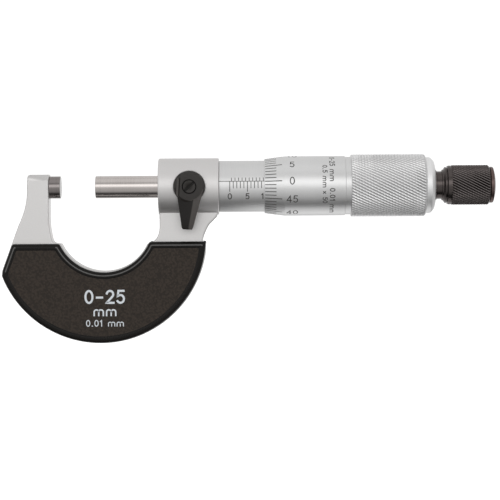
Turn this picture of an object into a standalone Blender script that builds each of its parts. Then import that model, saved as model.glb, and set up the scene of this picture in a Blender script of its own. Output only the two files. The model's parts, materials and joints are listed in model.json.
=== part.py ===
"""Outside micrometer, 0-25 mm, shown open by 10 mm.

The anvil's measuring face is at the origin, +X runs along the spindle towards the ratchet stop, +Z is up
and -Y is the side with the scale and the lock lever. Sizes below are in millimetres; the scene is in metres.
Lengths along X are measured from a datum in the anvil, ANVIL_FACE behind its face; new_object() moves them.
"""

import math

import bmesh
import bpy

MM = 0.001

# Measuring line
ANVIL_FACE = 0.45
SPINDLE_FACE = ANVIL_FACE + 10.0
FACE_R = 3.175
TIP_LENGTH = 1.5
FIT = 0.035  # radial running clearance
BRAZE = 0.02  # gap between two faces that are joined

# Frame
PLATE_T = 6.4
PLATE_CHAMFER = 0.35
ARM_TOP = 3.68
ARM_BEVEL_Z, ARM_BEVEL_Y = 2.0, 1.0
ANVIL_SHANK_R, ARM_INNER, ANVIL_SHANK_END = 2.0, -2.75, -7.4
THROAT_X, THROAT_Z, THROAT_R = 12.925, -10.34, 13.63
BACK_X, BACK_Z, BACK_R = 11.87, -14.21, 30.35
SLOPE_TOP, SLOPE_FOOT = (-11.5, -10.8), (-16.4, -24.0)  # the frame's straight edge below the anvil
BOSS_R, BOSS_START, BOSS_END, BOSS_EDGE = 8.1, 28.5, 45.75, 0.45
SEAT_R, SEAT_START = 5.3, 40.5

# Insulating covers
COVER_T = 1.6
COVER_INSET, COVER_THROAT_INSET = 0.22, 0.28
COVER_BORDER, COVER_ROUND = 1.75, 1.0
COVER_RECESS = 0.15
COVER_TOP_LEFT, COVER_TOP_RIGHT = -16.05, -15.6
COVER_CORNER = 0.6

# Scale sleeve and the nut inside it
SLEEVE_R, SLEEVE_BORE_R, SLEEVE_START, SLEEVE_END = 7.3, 6.0, 45.8, 79.5
NUT_END, NUT_THREAD_START = 84.5, 72.0
NUT_R, NUT_NECK_R = 5.9, 5.2
TAKE_UP_R, TAKE_UP_START, TAKE_UP_END = 6.3, 80.2, 84.0

# Lock
LOCK_X = 37.45
LEVER_SEAT_Y, LEVER_SEAT_R = -6.35, 4.6
LEVER_BACK_Y, LEVER_FRONT_Y, ARM_BACK_Y = -6.75, -9.7, -7.85
LEVER_R, LEVER_REACH, LEVER_TIP_HALF = 4.45, 12.1, 1.6
LEVER_LEAN = math.radians(3.4)
STUD_R = 1.75
SQUARE_HALF = 1.2
SCREW_HEAD_R, SCREW_POCKET_R = 1.8, 2.05
SCREW_SLOT_W, SCREW_SLOT_DEPTH, SCREW_SLOT_ANGLE = 0.5, 0.45, math.radians(43)
LOCK_CLEARANCE = 0.125

# Spindle and thimble
SPINDLE_THREAD_START, SPINDLE_THREAD_END, SPINDLE_THREAD_R = 57.2, 94.5, 3.1
TAPER_START, TAPER_END, TAPER_R0, TAPER_R1 = 95.2, 102.6, 3.9, 3.2
SPINDLE_END = 106.0
THIMBLE_EDGE, THIMBLE_EDGE_R, THIMBLE_BEVEL_END, THIMBLE_R = 58.75, 7.73, 64.5, 8.5
THIMBLE_BORE_R, THIMBLE_CAVITY_END = 7.45, 95.0
GROOVE_START, GROOVE_END, GROOVE_R = 81.7, 83.3, 8.25
GRIP_R, GRIP_CHAMFER, THIMBLE_END = 8.94, 0.3, 104.7
CAP_R, CAP_END = 8.0, 107.5

# Ratchet stop
COLLAR_R, COLLAR_END = 4.25, 108.0
NECK_R, NECK_END = 3.95, 111.3
TEETH, TOOTH_STEPS, TOOTH_HEIGHT, TOOTH_GAP = 12, 4, 0.35, 0.12
PIN_R, PIN_END = 1.6, 119.0
DISC_HALF, DISC_BACK = 4.1, 113.3
KNOB_START, KNOB_LIP_R, KNOB_COLLAR_R, KNOB_COLLAR_END = 109.4, 4.4, 5.15, 111.0
KNOB_R, KNOB_GRIP_END, KNOB_END, KNOB_END_R = 5.71, 122.4, 123.2, 5.2
KNOB_WALL_START, KNOB_WALL_END, KNOB_POCKET_R = 117.5, 119.0, 4.2
DOME_R, DOME_RIM, DOME_TOP = 5.15, 124.1, 124.6
SPRING_R, SPRING_WIRE_R, SPRING_COILS = 2.75, 0.25, 3.5

FINE, COARSE = 48, 32

COLOURS = {
    "satin": (0.62, 0.62, 0.61, 1.0, 0.35),
    "ground": (0.72, 0.71, 0.70, 1.0, 0.18),
    "carbide": (0.34, 0.35, 0.37, 1.0, 0.2),
    "steel": (0.5, 0.5, 0.5, 1.0, 0.4),
    "brass": (0.72, 0.55, 0.25, 0.9, 0.35),
    "black_plastic": (0.03, 0.027, 0.025, 0.0, 0.45),
    "black_oxide": (0.06, 0.055, 0.05, 0.6, 0.5),
}


def clear_scene():
    for obj in list(bpy.data.objects):
        bpy.data.objects.remove(obj, do_unlink=True)


def paint(obj, finish):
    red, green, blue, metallic, roughness = COLOURS[finish]
    material = bpy.data.materials.new(obj.name)
    material.use_nodes = True
    shader = material.node_tree.nodes["Principled BSDF"]
    shader.inputs["Base Color"].default_value = (red, green, blue, 1.0)
    shader.inputs["Metallic"].default_value = metallic
    shader.inputs["Roughness"].default_value = roughness
    obj.data.materials.append(material)


def from_face(at):
    """A point of the drawing as a place in the scene, in metres from the anvil's face."""
    return (at[0] - ANVIL_FACE) * MM, at[1] * MM, at[2] * MM


def new_object(name, bm, at, finish=None):
    bmesh.ops.recalc_face_normals(bm, faces=bm.faces)
    mesh = bpy.data.meshes.new(name)
    bm.to_mesh(mesh)
    bm.free()
    mesh.shade_smooth()
    mesh.set_sharp_from_angle(angle=math.radians(30))
    obj = bpy.data.objects.new(name, mesh)
    obj.location = from_face(at)
    bpy.context.scene.collection.objects.link(obj)
    if finish:
        paint(obj, finish)
    else:
        obj.hide_render = True
        obj.display_type = "WIRE"
    return obj


def bridge(bm, rings, loop):
    """Joins rings of points, each the same length or a single point, into one skin."""
    pairs = list(zip(rings, rings[1:]))
    if loop:
        pairs.append((rings[-1], rings[0]))
    for low, high in pairs:
        count = max(len(low), len(high))
        for k in range(count):
            n = (k + 1) % count
            corners = [low[k % len(low)], low[n % len(low)], high[n % len(high)], high[k % len(high)]]
            unique = list(dict.fromkeys(corners))
            if len(unique) > 2:
                bm.faces.new(unique)


def round_section(radius, steps):
    return [(radius, 2 * math.pi * k / steps) for k in range(steps)]


def polygon_section(half, sides, steps):
    """A regular polygon with flats at half from its centre, sampled every turn/steps."""
    points = []
    for k in range(steps):
        angle = 2 * math.pi * k / steps
        off = (angle + math.pi / sides) % (2 * math.pi / sides) - math.pi / sides
        points.append((half / math.cos(off), angle))
    return points


def turned(name, axis, at, profile, finish=None, steps=FINE, phase=0.0):
    """A body of revolution. A profile point is (along, radius) or (along, radius, shape): shape is a number
    of flats, or "teeth". A profile that starts and ends on the axis is solid; any other is a closed loop."""
    bm = bmesh.new()
    rings = []
    for along, radius, *shape in profile:
        kind = shape[0] if shape else None
        if radius == 0:
            section = [(0.0, 0.0)]
        elif kind in (4, 6):
            section = polygon_section(radius, kind, steps)
        else:
            section = round_section(radius, steps)
        ring = []
        for k, (r, angle) in enumerate(section):
            rise = TOOTH_HEIGHT * (k % TOOTH_STEPS) / (TOOTH_STEPS - 1) if kind == "teeth" else 0.0
            a, u, v = along + rise, r * math.cos(angle + phase), r * math.sin(angle + phase)
            point = (a, u, v) if axis == "X" else (u, a, v)
            ring.append(bm.verts.new([(p - o) * MM for p, o in zip(point, at)]))
        rings.append(ring)
    bridge(bm, rings, loop=len(rings[0]) > 1)
    return new_object(name, bm, at, finish)


def slab(name, layers, finish=None, at=(0, 0, 0)):
    """A plate from outlines of equal length in XZ, each at its own Y, capped at both ends."""
    bm = bmesh.new()
    rings = []
    for y, line in layers:
        rings.append([bm.verts.new([(p - o) * MM for p, o in zip((x, y, z), at)]) for x, z in line])
    bridge(bm, rings, loop=False)
    bm.faces.new(rings[0])
    bm.faces.new(rings[-1])
    return new_object(name, bm, at, finish)


def box(name, low, high, at=(0, 0, 0)):
    line = [(low[0], low[2]), (high[0], low[2]), (high[0], high[2]), (low[0], high[2])]
    return slab(name, [(low[1], line), (high[1], line)], at=at)


def change(obj, tool, operation="DIFFERENCE"):
    modifier = obj.modifiers.new(tool.name, "BOOLEAN")
    modifier.operation = operation
    modifier.solver = "EXACT"
    modifier.object = tool


def inset(outline, distance):
    """The outline moved inwards; it runs anticlockwise in XZ."""
    moved = []
    for k, (x, z) in enumerate(outline):
        (x0, z0), (x1, z1) = outline[k - 1], outline[(k + 1) % len(outline)]
        a = (x - x0, z - z0)
        b = (x1 - x, z1 - z)
        la, lb = math.hypot(*a), math.hypot(*b)
        na, nb = (-a[1] / la, a[0] / la), (-b[1] / lb, b[0] / lb)
        scale = distance / (1 + na[0] * nb[0] + na[1] * nb[1])
        moved.append((x + (na[0] + nb[0]) * scale, z + (na[1] + nb[1]) * scale))
    return moved


def arc(cx, cz, radius, start, end, steps):
    """Points at equal angles in degrees, both ends included."""
    angles = [math.radians(start + (end - start) * k / steps) for k in range(steps + 1)]
    return [(cx + radius * math.cos(a), cz + radius * math.sin(a)) for a in angles]


def frame_outline():
    """Anticlockwise, from the top of the left arm's inner edge."""
    left_outer = [
        (-8.8, 2.9), (-8.95, 0.5), (-9.0, -2.4), (-9.3, -4.5), (-9.8, -6.6), (-10.53, -8.65), SLOPE_TOP,
        (-16.25, -23.65), (-16.32, -24.3), (-16.28, -24.9), (-16.12, -25.6),
    ]
    right_outer = [
        (41.92, -17.5), (41.9, -16.4), (41.7, -16.0), (41.0, -15.5),
        (41.25, -14.4), (41.7, -13.2), (42.2, -12.1), (42.9, -10.9),
        (44.0, -9.8), (45.1, -8.6), (45.4, -7.6), (45.4, -5.0),
    ]
    right_inner = [(28.74, -5.0), (28.74, -12.0), (28.5, -13.1), (28.05, -14.3), (27.2, -15.35)]
    left_inner = [
        (-0.6, -15.95), (-1.5, -15.65), (-1.9, -14.95), (-2.17, -14.0), (-2.42, -12.6), (-2.62, -11.4),
        (ARM_INNER, -9.5),
    ]
    outer = arc(BACK_X, BACK_Z, BACK_R, 204.0, 351.0, 42)
    inner = arc(THROAT_X, THROAT_Z, THROAT_R, -25.6, -155.0, 30)
    top = [(ARM_INNER, ARM_TOP), (-8.0, ARM_TOP), (-8.55, ARM_TOP - 0.2)]
    return top + left_outer + outer + right_outer + right_inner + inner + left_inner


def cover_outline(inward):
    """The cover's edge, moved inwards, always with the same number of points."""
    outer_r = BACK_R - COVER_INSET - inward
    inner_r = THROAT_R + COVER_THROAT_INSET + inward
    reach = max(COVER_CORNER - inward * 0.2, 0.25)
    slope = math.atan2(SLOPE_FOOT[1] - SLOPE_TOP[1], SLOPE_FOOT[0] - SLOPE_TOP[0])
    shift = COVER_INSET + inward
    foot = (SLOPE_TOP[0] - shift * math.sin(slope), SLOPE_TOP[1] + shift * math.cos(slope))

    def on_slope(z):
        return foot[0] + (z - foot[1]) / math.tan(slope), z

    def on_circle(cx, cz, radius, z, side):
        return cx + side * math.sqrt(radius**2 - (z - cz) ** 2), z

    def along_circle(cx, cz, radius, point, step):
        angle = math.atan2(point[1] - cz, point[0] - cx) + step / radius
        return cx + radius * math.cos(angle), cz + radius * math.sin(angle), math.degrees(angle)

    def blend(before, corner, after):
        points = []
        for k in range(5):
            t = k / 4
            w = ((1 - t) ** 2, 2 * t * (1 - t), t * t)
            points.append(tuple(w[0] * b + w[1] * c + w[2] * a for b, c, a in zip(before, corner, after)))
        return points

    left_z, right_z = COVER_TOP_LEFT - inward, COVER_TOP_RIGHT - inward
    top_left = on_slope(left_z)
    low_z = SLOPE_FOOT[1]
    for _ in range(30):
        x, _z = on_slope(low_z)
        low_z = BACK_Z - math.sqrt(max(outer_r**2 - (x - BACK_X) ** 2, 0.0))
    bottom_left = on_slope(low_z)
    top_right = on_circle(BACK_X, BACK_Z, outer_r, right_z, 1)
    inner_right = on_circle(THROAT_X, THROAT_Z, inner_r, right_z, 1)
    inner_left = on_circle(THROAT_X, THROAT_Z, inner_r, left_z, -1)

    def toward(a, b, far=1.0):
        length = math.dist(a, b)
        return tuple(p + (q - p) * far * reach / length for p, q in zip(a, b))

    start = along_circle(BACK_X, BACK_Z, outer_r, bottom_left, 2 * reach)
    end = along_circle(BACK_X, BACK_Z, outer_r, top_right, -reach)
    inner_start = along_circle(THROAT_X, THROAT_Z, inner_r, inner_right, -reach)
    inner_end = along_circle(THROAT_X, THROAT_Z, inner_r, inner_left, reach)
    points = blend(toward(top_left, inner_left), top_left, toward(top_left, bottom_left))
    points += blend(toward(bottom_left, top_left, 2.0), bottom_left, start[:2])
    points += arc(BACK_X, BACK_Z, outer_r, start[2] % 360, end[2] % 360, 36)[1:-1]
    points += blend(end[:2], top_right, toward(top_right, inner_right))
    points += blend(toward(inner_right, top_right), inner_right, inner_start[:2])
    far = inner_end[2] - (360 if inner_end[2] > 0 else 0)
    points += arc(THROAT_X, THROAT_Z, inner_r, inner_start[2], far, 26)[1:-1]
    points += blend(inner_end[:2], inner_left, toward(inner_left, top_left))
    return points


def make_frame():
    outline = frame_outline()
    thin = inset(outline, PLATE_CHAMFER)
    half = PLATE_T / 2
    frame = slab(
        "frame",
        [(-half, thin), (-half + PLATE_CHAMFER, outline), (half - PLATE_CHAMFER, outline), (half, thin)],
        "satin",
    )
    e = BOSS_EDGE
    boss = turned("boss", "X", (0, 0, 0), [
        (BOSS_START, 0), (BOSS_START, BOSS_R - e),
        (BOSS_START + 0.15, BOSS_R - 0.4 * e), (BOSS_START + e, BOSS_R),
        (BOSS_END - e, BOSS_R), (BOSS_END - 0.15, BOSS_R - 0.4 * e), (BOSS_END, BOSS_R - e), (BOSS_END, 0),
    ])
    change(frame, boss, "UNION")
    bore_r = FACE_R + FIT
    change(frame, turned("spindle_bore", "X", (0, 0, 0), [
        (BOSS_START - 2, 0), (BOSS_START - 2, bore_r), (SEAT_START, bore_r), (SEAT_START, SEAT_R),
        (BOSS_END + 2, SEAT_R), (BOSS_END + 2, 0),
    ]))
    lock_bore = turned("lock_bore", "Y", (0, 0, 0), [
        (-2.0, 0), (-2.0, STUD_R + 0.05), (LEVER_SEAT_Y, STUD_R + 0.05), (LEVER_SEAT_Y, LEVER_SEAT_R),
        (-9.0, LEVER_SEAT_R), (-9.0, 0),
    ], steps=COARSE)
    lock_bore.location = from_face((LOCK_X, 0, 0))
    change(frame, lock_bore)
    change(frame, turned("anvil_bore", "X", (0, 0, 0), [
        (ANVIL_SHANK_END - 0.1, 0), (ANVIL_SHANK_END - 0.1, ANVIL_SHANK_R + 0.03), (0, ANVIL_SHANK_R + 0.03),
        (0, 0),
    ], steps=COARSE))
    for side in (-1, 1):
        wedge = [(side * (half + 1), ARM_BEVEL_Z), (side * half, ARM_BEVEL_Z),
                 (side * (half - ARM_BEVEL_Y), ARM_TOP), (side * (half - ARM_BEVEL_Y), ARM_TOP + 1),
                 (side * (half + 1), ARM_TOP + 1)]
        bm = bmesh.new()
        rings = [[bm.verts.new((x * MM, y * MM, z * MM)) for y, z in wedge] for x in (-12.0, 1.0)]
        bridge(bm, rings, loop=False)
        bm.faces.new(rings[0])
        bm.faces.new(rings[1])
        change(frame, new_object(f"arm_bevel_{side}", bm, (0, 0, 0)))
    return frame


def lever_outline():
    """The head's circle and the arm, hanging straight down from the pivot at 0, 0. Anticlockwise."""
    tilt = math.asin((LEVER_R - 0.55 - LEVER_TIP_HALF) / LEVER_REACH)
    start = 270 + 90 - 34 - math.degrees(tilt)
    head = arc(0, 0, LEVER_R, start - 360, 180 + 34 + math.degrees(tilt), 30)
    tip = [(-LEVER_TIP_HALF - 0.05, -LEVER_REACH + 0.7), (-LEVER_TIP_HALF + 0.5, -LEVER_REACH),
           (LEVER_TIP_HALF - 0.5, -LEVER_REACH), (LEVER_TIP_HALF + 0.05, -LEVER_REACH + 0.7)]
    return head + tip


def make_lock():
    outline = lever_outline()
    at = (LOCK_X, 0, 0)
    front, back = LEVER_FRONT_Y, LEVER_BACK_Y
    lever = slab("lock_lever", [
        (front, inset(outline, 0.4)), (front + 0.4, outline), (back - 0.2, outline),
        (back, inset(outline, 0.2)),
    ], "black_oxide")
    pocket = turned("lever_pocket", "Y", (0, 0, 0), [
        (front - 1, 0), (front - 1, SCREW_POCKET_R), (front + 1.4, SCREW_POCKET_R), (front + 1.4, 0),
    ], steps=COARSE)
    relief = turned("lever_relief", "Y", (0, 0, 0), [
        (ARM_BACK_Y, LEVER_R - 0.05), (ARM_BACK_Y, 15.0), (back + 1, 15.0), (back + 1, LEVER_R - 0.05),
    ], steps=COARSE)
    square = turned("lever_square", "Y", (0, 0, 0), [
        (back + 1, 0), (back + 1, SQUARE_HALF + 0.05, 4), (front + 1, SQUARE_HALF + 0.05, 4), (front + 1, 0),
    ], steps=8, phase=math.pi / 4)
    stud = turned("lock_stud", "Y", (0, 0, 0), [
        (-FACE_R - LOCK_CLEARANCE - 1.6, 0), (-FACE_R - LOCK_CLEARANCE - 1.6, STUD_R), (LEVER_BACK_Y, STUD_R),
        (LEVER_BACK_Y, SQUARE_HALF, 4), (front + 1.45, SQUARE_HALF, 4), (front + 1.45, 0.8), (-5.4, 0.8),
        (-5.4, 0),
    ], "steel", steps=16, phase=math.pi / 4)
    washer = turned("lock_washer", "Y", (0, 0, 0), [
        (LEVER_SEAT_Y - 0.05, STUD_R + 0.1), (LEVER_SEAT_Y - 0.05, 3.9), (LEVER_BACK_Y + 0.05, 3.9),
        (LEVER_BACK_Y + 0.05, STUD_R + 0.1),
    ], "steel", steps=COARSE)
    head_y = front + 0.35
    screw = turned("lock_screw", "Y", (0, 0, 0), [
        (head_y, 0), (head_y, SCREW_HEAD_R - 0.15),
        (head_y + 0.15, SCREW_HEAD_R), (front + 1.35, SCREW_HEAD_R),
        (front + 1.35, 0.75), (-5.6, 0.75), (-5.6, 0),
    ], "black_oxide", steps=COARSE)
    w = SCREW_SLOT_W / 2
    slot = box("screw_slot", (-3, head_y - 1, -w), (3, head_y + SCREW_SLOT_DEPTH, w))
    slot.rotation_euler.y = -SCREW_SLOT_ANGLE
    shoe = turned("lock_shoe", "Y", (0, 0, 0), [
        (-FACE_R - LOCK_CLEARANCE, 0), (-FACE_R - LOCK_CLEARANCE, STUD_R - 0.15),
        (-FACE_R - LOCK_CLEARANCE - 0.15, STUD_R), (-FACE_R - LOCK_CLEARANCE - 1.5, STUD_R),
        (-FACE_R - LOCK_CLEARANCE - 1.5, 0),
    ], "brass", steps=COARSE)
    for obj in (lever, pocket, relief, square, stud, washer, screw, slot, shoe):
        obj.location = from_face(at)
    for obj in (lever, pocket, square, stud):
        obj.rotation_euler.y = LEVER_LEAN
    change(lever, pocket)
    change(lever, relief)
    change(lever, square)
    change(screw, slot)


def make_covers():
    half = PLATE_T / 2
    for name, side in (("cover_front", -1), ("cover_rear", 1)):
        inner, outer = side * (half + BRAZE), side * (half + COVER_T)
        slab(name, [
            (inner, cover_outline(0)), (outer - side * COVER_ROUND, cover_outline(0)),
            (outer - side * 0.3 * COVER_ROUND, cover_outline(0.3 * COVER_ROUND)),
            (outer, cover_outline(COVER_ROUND)), (outer, cover_outline(COVER_BORDER - 0.15)),
            (outer - side * COVER_RECESS, cover_outline(COVER_BORDER)),
        ], "black_plastic")


def make_measuring_line():
    shoulder, joint = ARM_INNER + BRAZE, ANVIL_FACE - 1.0
    turned("anvil", "X", (ANVIL_FACE, 0, 0), [
        (ANVIL_SHANK_END, 0), (ANVIL_SHANK_END, ANVIL_SHANK_R), (shoulder, ANVIL_SHANK_R), (shoulder, FACE_R),
        (joint - BRAZE, FACE_R), (joint - BRAZE, 0),
    ], "ground")
    turned("anvil_tip", "X", (ANVIL_FACE, 0, 0), [
        (joint, 0), (joint, FACE_R), (ANVIL_FACE - 0.12, FACE_R),
        (ANVIL_FACE, FACE_R - 0.12), (ANVIL_FACE, 0),
    ], "carbide")
    start, joint = SPINDLE_FACE, SPINDLE_FACE + TIP_LENGTH
    turned("spindle_tip", "X", (start, 0, 0), [
        (start, 0), (start, FACE_R - 0.12), (start + 0.12, FACE_R), (joint, FACE_R), (joint, 0),
    ], "carbide")
    thread, relief = SPINDLE_THREAD_R, SPINDLE_THREAD_R - 0.3
    turned("spindle", "X", (start, 0, 0), [
        (joint + BRAZE, 0), (joint + BRAZE, FACE_R),
        (SPINDLE_THREAD_START - 0.7, FACE_R),
        (SPINDLE_THREAD_START - 0.7, relief), (SPINDLE_THREAD_START, relief),
        (SPINDLE_THREAD_START + 0.3, thread), (SPINDLE_THREAD_END, thread),
        (SPINDLE_THREAD_END + 0.2, relief),
        (TAPER_START, relief), (TAPER_START, TAPER_R0), (TAPER_END, TAPER_R1), (TAPER_END, 2.6),
        (SPINDLE_END, 2.6), (SPINDLE_END, 1.55), (SPINDLE_END - 8.0, 1.55), (SPINDLE_END - 8.0, 0),
    ], "ground")


def make_sleeve():
    turned("spindle_nut", "X", (0, 0, 0), [
        (SEAT_START + 0.05, SEAT_R - 0.05), (BOSS_END, SEAT_R - 0.05), (BOSS_END, NUT_R - 0.5),
        (SLEEVE_START, NUT_R - 0.4), (SLEEVE_START + 0.4, NUT_R), (76.5, NUT_R),
        (77.5, NUT_NECK_R), (NUT_END, NUT_NECK_R),
        (NUT_END, SPINDLE_THREAD_R + 0.05), (NUT_THREAD_START, SPINDLE_THREAD_R + 0.05),
        (NUT_THREAD_START, FACE_R + 0.25), (SEAT_START + 0.05, FACE_R + 0.25),
    ], "steel")
    turned("take_up_nut", "X", (0, 0, 0), [
        (TAKE_UP_START, NUT_NECK_R + 0.05), (TAKE_UP_START, TAKE_UP_R - 0.3),
        (TAKE_UP_START + 0.3, TAKE_UP_R),
        (TAKE_UP_END - 0.3, TAKE_UP_R), (TAKE_UP_END, TAKE_UP_R - 0.3), (TAKE_UP_END, NUT_NECK_R + 0.05),
    ], "steel")
    turned("graduated_sleeve", "X", (SLEEVE_START, 0, 0), [
        (SLEEVE_START, SLEEVE_BORE_R), (SLEEVE_START, SLEEVE_R - 0.15), (SLEEVE_START + 0.15, SLEEVE_R),
        (SLEEVE_END - 0.3, SLEEVE_R), (SLEEVE_END, SLEEVE_R - 0.3), (SLEEVE_END, SLEEVE_BORE_R),
    ], "satin")


def make_thimble():
    turned("thimble", "X", (THIMBLE_EDGE, 0, 0), [
        (THIMBLE_EDGE, THIMBLE_BORE_R), (THIMBLE_EDGE, THIMBLE_EDGE_R - 0.03),
        (THIMBLE_EDGE + 0.05, THIMBLE_EDGE_R),
        (THIMBLE_BEVEL_END, THIMBLE_R), (GROOVE_START - 0.2, THIMBLE_R), (GROOVE_START, GROOVE_R),
        (GROOVE_END, GROOVE_R), (GROOVE_END, GRIP_R - GRIP_CHAMFER), (GROOVE_END + GRIP_CHAMFER, GRIP_R),
        (THIMBLE_END - GRIP_CHAMFER, GRIP_R), (THIMBLE_END, GRIP_R - GRIP_CHAMFER), (THIMBLE_END, 6.0),
        (THIMBLE_END - 1.6, 6.0), (THIMBLE_END - 1.6, TAPER_R1 + 0.05), (TAPER_END, TAPER_R1 + 0.05),
        (TAPER_START, TAPER_R0 + 0.05), (THIMBLE_CAVITY_END, TAPER_R0 + 0.05),
        (THIMBLE_CAVITY_END, THIMBLE_BORE_R),
    ], "satin")
    spigot = THIMBLE_END - 1.55
    turned("thimble_cap", "X", (spigot, 0, 0), [
        (spigot, 2.65), (spigot, 5.95), (THIMBLE_END + BRAZE, 5.95), (THIMBLE_END + BRAZE, CAP_R),
        (CAP_END - 1.45, CAP_R), (CAP_END - 1.0, CAP_R - 0.25), (CAP_END - 0.4, CAP_R - 1.25),
        (CAP_END - 0.1, CAP_R - 2.3), (CAP_END, CAP_R - 3.4), (CAP_END, 2.65),
    ], "satin")


def make_spring(name, start, end, finish):
    """A compression spring about X whose ends flatten against its seats."""
    bm = bmesh.new()
    turns, per_turn, sides = SPRING_COILS, 14, 6
    count = int(turns * per_turn)
    low, high = start + SPRING_WIRE_R, end - SPRING_WIRE_R
    rings = []
    for k in range(count + 1):
        t = k / count
        rise = min(max((t * turns - 0.75) / (turns - 1.5), 0.0), 1.0)
        along = low + 2.2 * SPRING_WIRE_R * min(t * turns, 0.75) / 0.75
        far = high - 2.2 * SPRING_WIRE_R * min((1 - t) * turns, 0.75) / 0.75
        x = along + (far - along) * rise
        angle = 2 * math.pi * turns * t
        ring = []
        for s in range(sides):
            around = 2 * math.pi * s / sides
            r = SPRING_R + SPRING_WIRE_R * math.cos(around)
            y, z = r * math.cos(angle), r * math.sin(angle)
            ring.append(bm.verts.new(((x + SPRING_WIRE_R * math.sin(around) - start) * MM, y * MM, z * MM)))
        rings.append(ring)
    bridge(bm, rings, loop=False)
    bm.faces.new(rings[0])
    bm.faces.new(rings[-1])
    return new_object(name, bm, (start, 0, 0), finish)


def make_ratchet():
    turned("ratchet_shank", "X", (CAP_END, 0, 0), [
        (98.6, 0), (98.6, 1.5), (SPINDLE_END + 0.1, 1.5), (SPINDLE_END + 0.1, 2.6), (CAP_END + BRAZE, 2.6),
        (CAP_END + BRAZE, COLLAR_R), (COLLAR_END, COLLAR_R),
        (COLLAR_END, NECK_R), (NECK_END, NECK_R, "teeth"),
        (NECK_END, PIN_R + 0.35, "teeth"), (NECK_END, PIN_R), (PIN_END, PIN_R), (PIN_END, 0.8),
        (PIN_END - 4.5, 0.8), (PIN_END - 4.5, 0),
    ], "steel", steps=TEETH * TOOTH_STEPS)
    face = NECK_END + TOOTH_GAP
    turned("ratchet_disc", "X", (face, 0, 0), [
        (face + TOOTH_HEIGHT, PIN_R + 0.06), (face, PIN_R + 0.4, "teeth"), (face, NECK_R, "teeth"),
        (face + TOOTH_HEIGHT, DISC_HALF, 6), (DISC_BACK, DISC_HALF, 6), (DISC_BACK, PIN_R + 0.06),
    ], "steel", steps=TEETH * TOOTH_STEPS)
    turned("ratchet_knob", "X", (KNOB_START, 0, 0), [
        (KNOB_START, NECK_R + 0.06), (KNOB_START, KNOB_LIP_R - 0.1), (KNOB_START + 0.1, KNOB_LIP_R),
        (KNOB_START + 0.45, KNOB_LIP_R), (KNOB_START + 0.9, KNOB_COLLAR_R), (KNOB_COLLAR_END, KNOB_COLLAR_R),
        (KNOB_COLLAR_END + 0.1, KNOB_R - 0.2), (KNOB_COLLAR_END + 0.3, KNOB_R),
        (KNOB_GRIP_END, KNOB_R), (KNOB_END, KNOB_END_R), (KNOB_END, KNOB_POCKET_R),
        (KNOB_WALL_END, KNOB_POCKET_R), (KNOB_WALL_END, PIN_R + 0.06), (KNOB_WALL_START, PIN_R + 0.06),
        (KNOB_WALL_START, DISC_HALF + 0.08, 6), (NECK_END - 0.1, DISC_HALF + 0.08, 6),
        (NECK_END - 0.1, NECK_R + 0.06),
    ], "black_oxide")
    make_spring("ratchet_spring", DISC_BACK + 0.02, KNOB_WALL_START - 0.02, "steel")
    washer = KNOB_WALL_END + 0.06
    turned("ratchet_washer", "X", (washer, 0, 0), [
        (washer, 0.9), (washer, 3.3), (washer + 0.35, 3.3), (washer + 0.35, 0.9),
    ], "steel", steps=COARSE)
    under = washer + 0.37
    screw = turned("ratchet_screw", "X", (under, 0, 0), [
        (PIN_END - 4.2, 0), (PIN_END - 4.2, 0.75), (under, 0.75), (under, 2.7), (under + 1.0, 2.7),
        (under + 1.3, 2.4), (under + 1.3, 0),
    ], "steel", steps=COARSE)
    slot = box("ratchet_screw_slot", (under + 0.8, -4, -0.3), (under + 2.5, 4, 0.3))
    change(screw, slot)
    plug = KNOB_POCKET_R - 0.05
    turned("ratchet_end_cap", "X", (KNOB_END, 0, 0), [
        (121.4, 0), (121.4, plug), (KNOB_END + BRAZE, plug), (KNOB_END + BRAZE, DOME_R - 0.1),
        (KNOB_END + 0.15, DOME_R), (DOME_RIM - 0.3, DOME_R), (DOME_RIM - 0.05, DOME_R - 0.15),
        (DOME_RIM + 0.1, DOME_R - 0.5), (DOME_TOP - 0.2, DOME_R - 1.3),
        (DOME_TOP, DOME_R - 2.6), (DOME_TOP, 0),
    ], "black_oxide")


clear_scene()
make_frame()
make_covers()
make_measuring_line()
make_sleeve()
make_lock()
make_thimble()
make_ratchet()
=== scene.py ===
"""The micrometer's finished look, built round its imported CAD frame.

Sizes are in millimetres; the studio and the camera are placed in metres. The anvil's face is at the origin,
+X runs along the spindle, +Z is up and the camera stands on the -Y side. Lengths along X are measured from a
datum in the anvil, ANVIL_FACE behind its face, and new_piece() moves them.
"""

import json
import math

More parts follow.
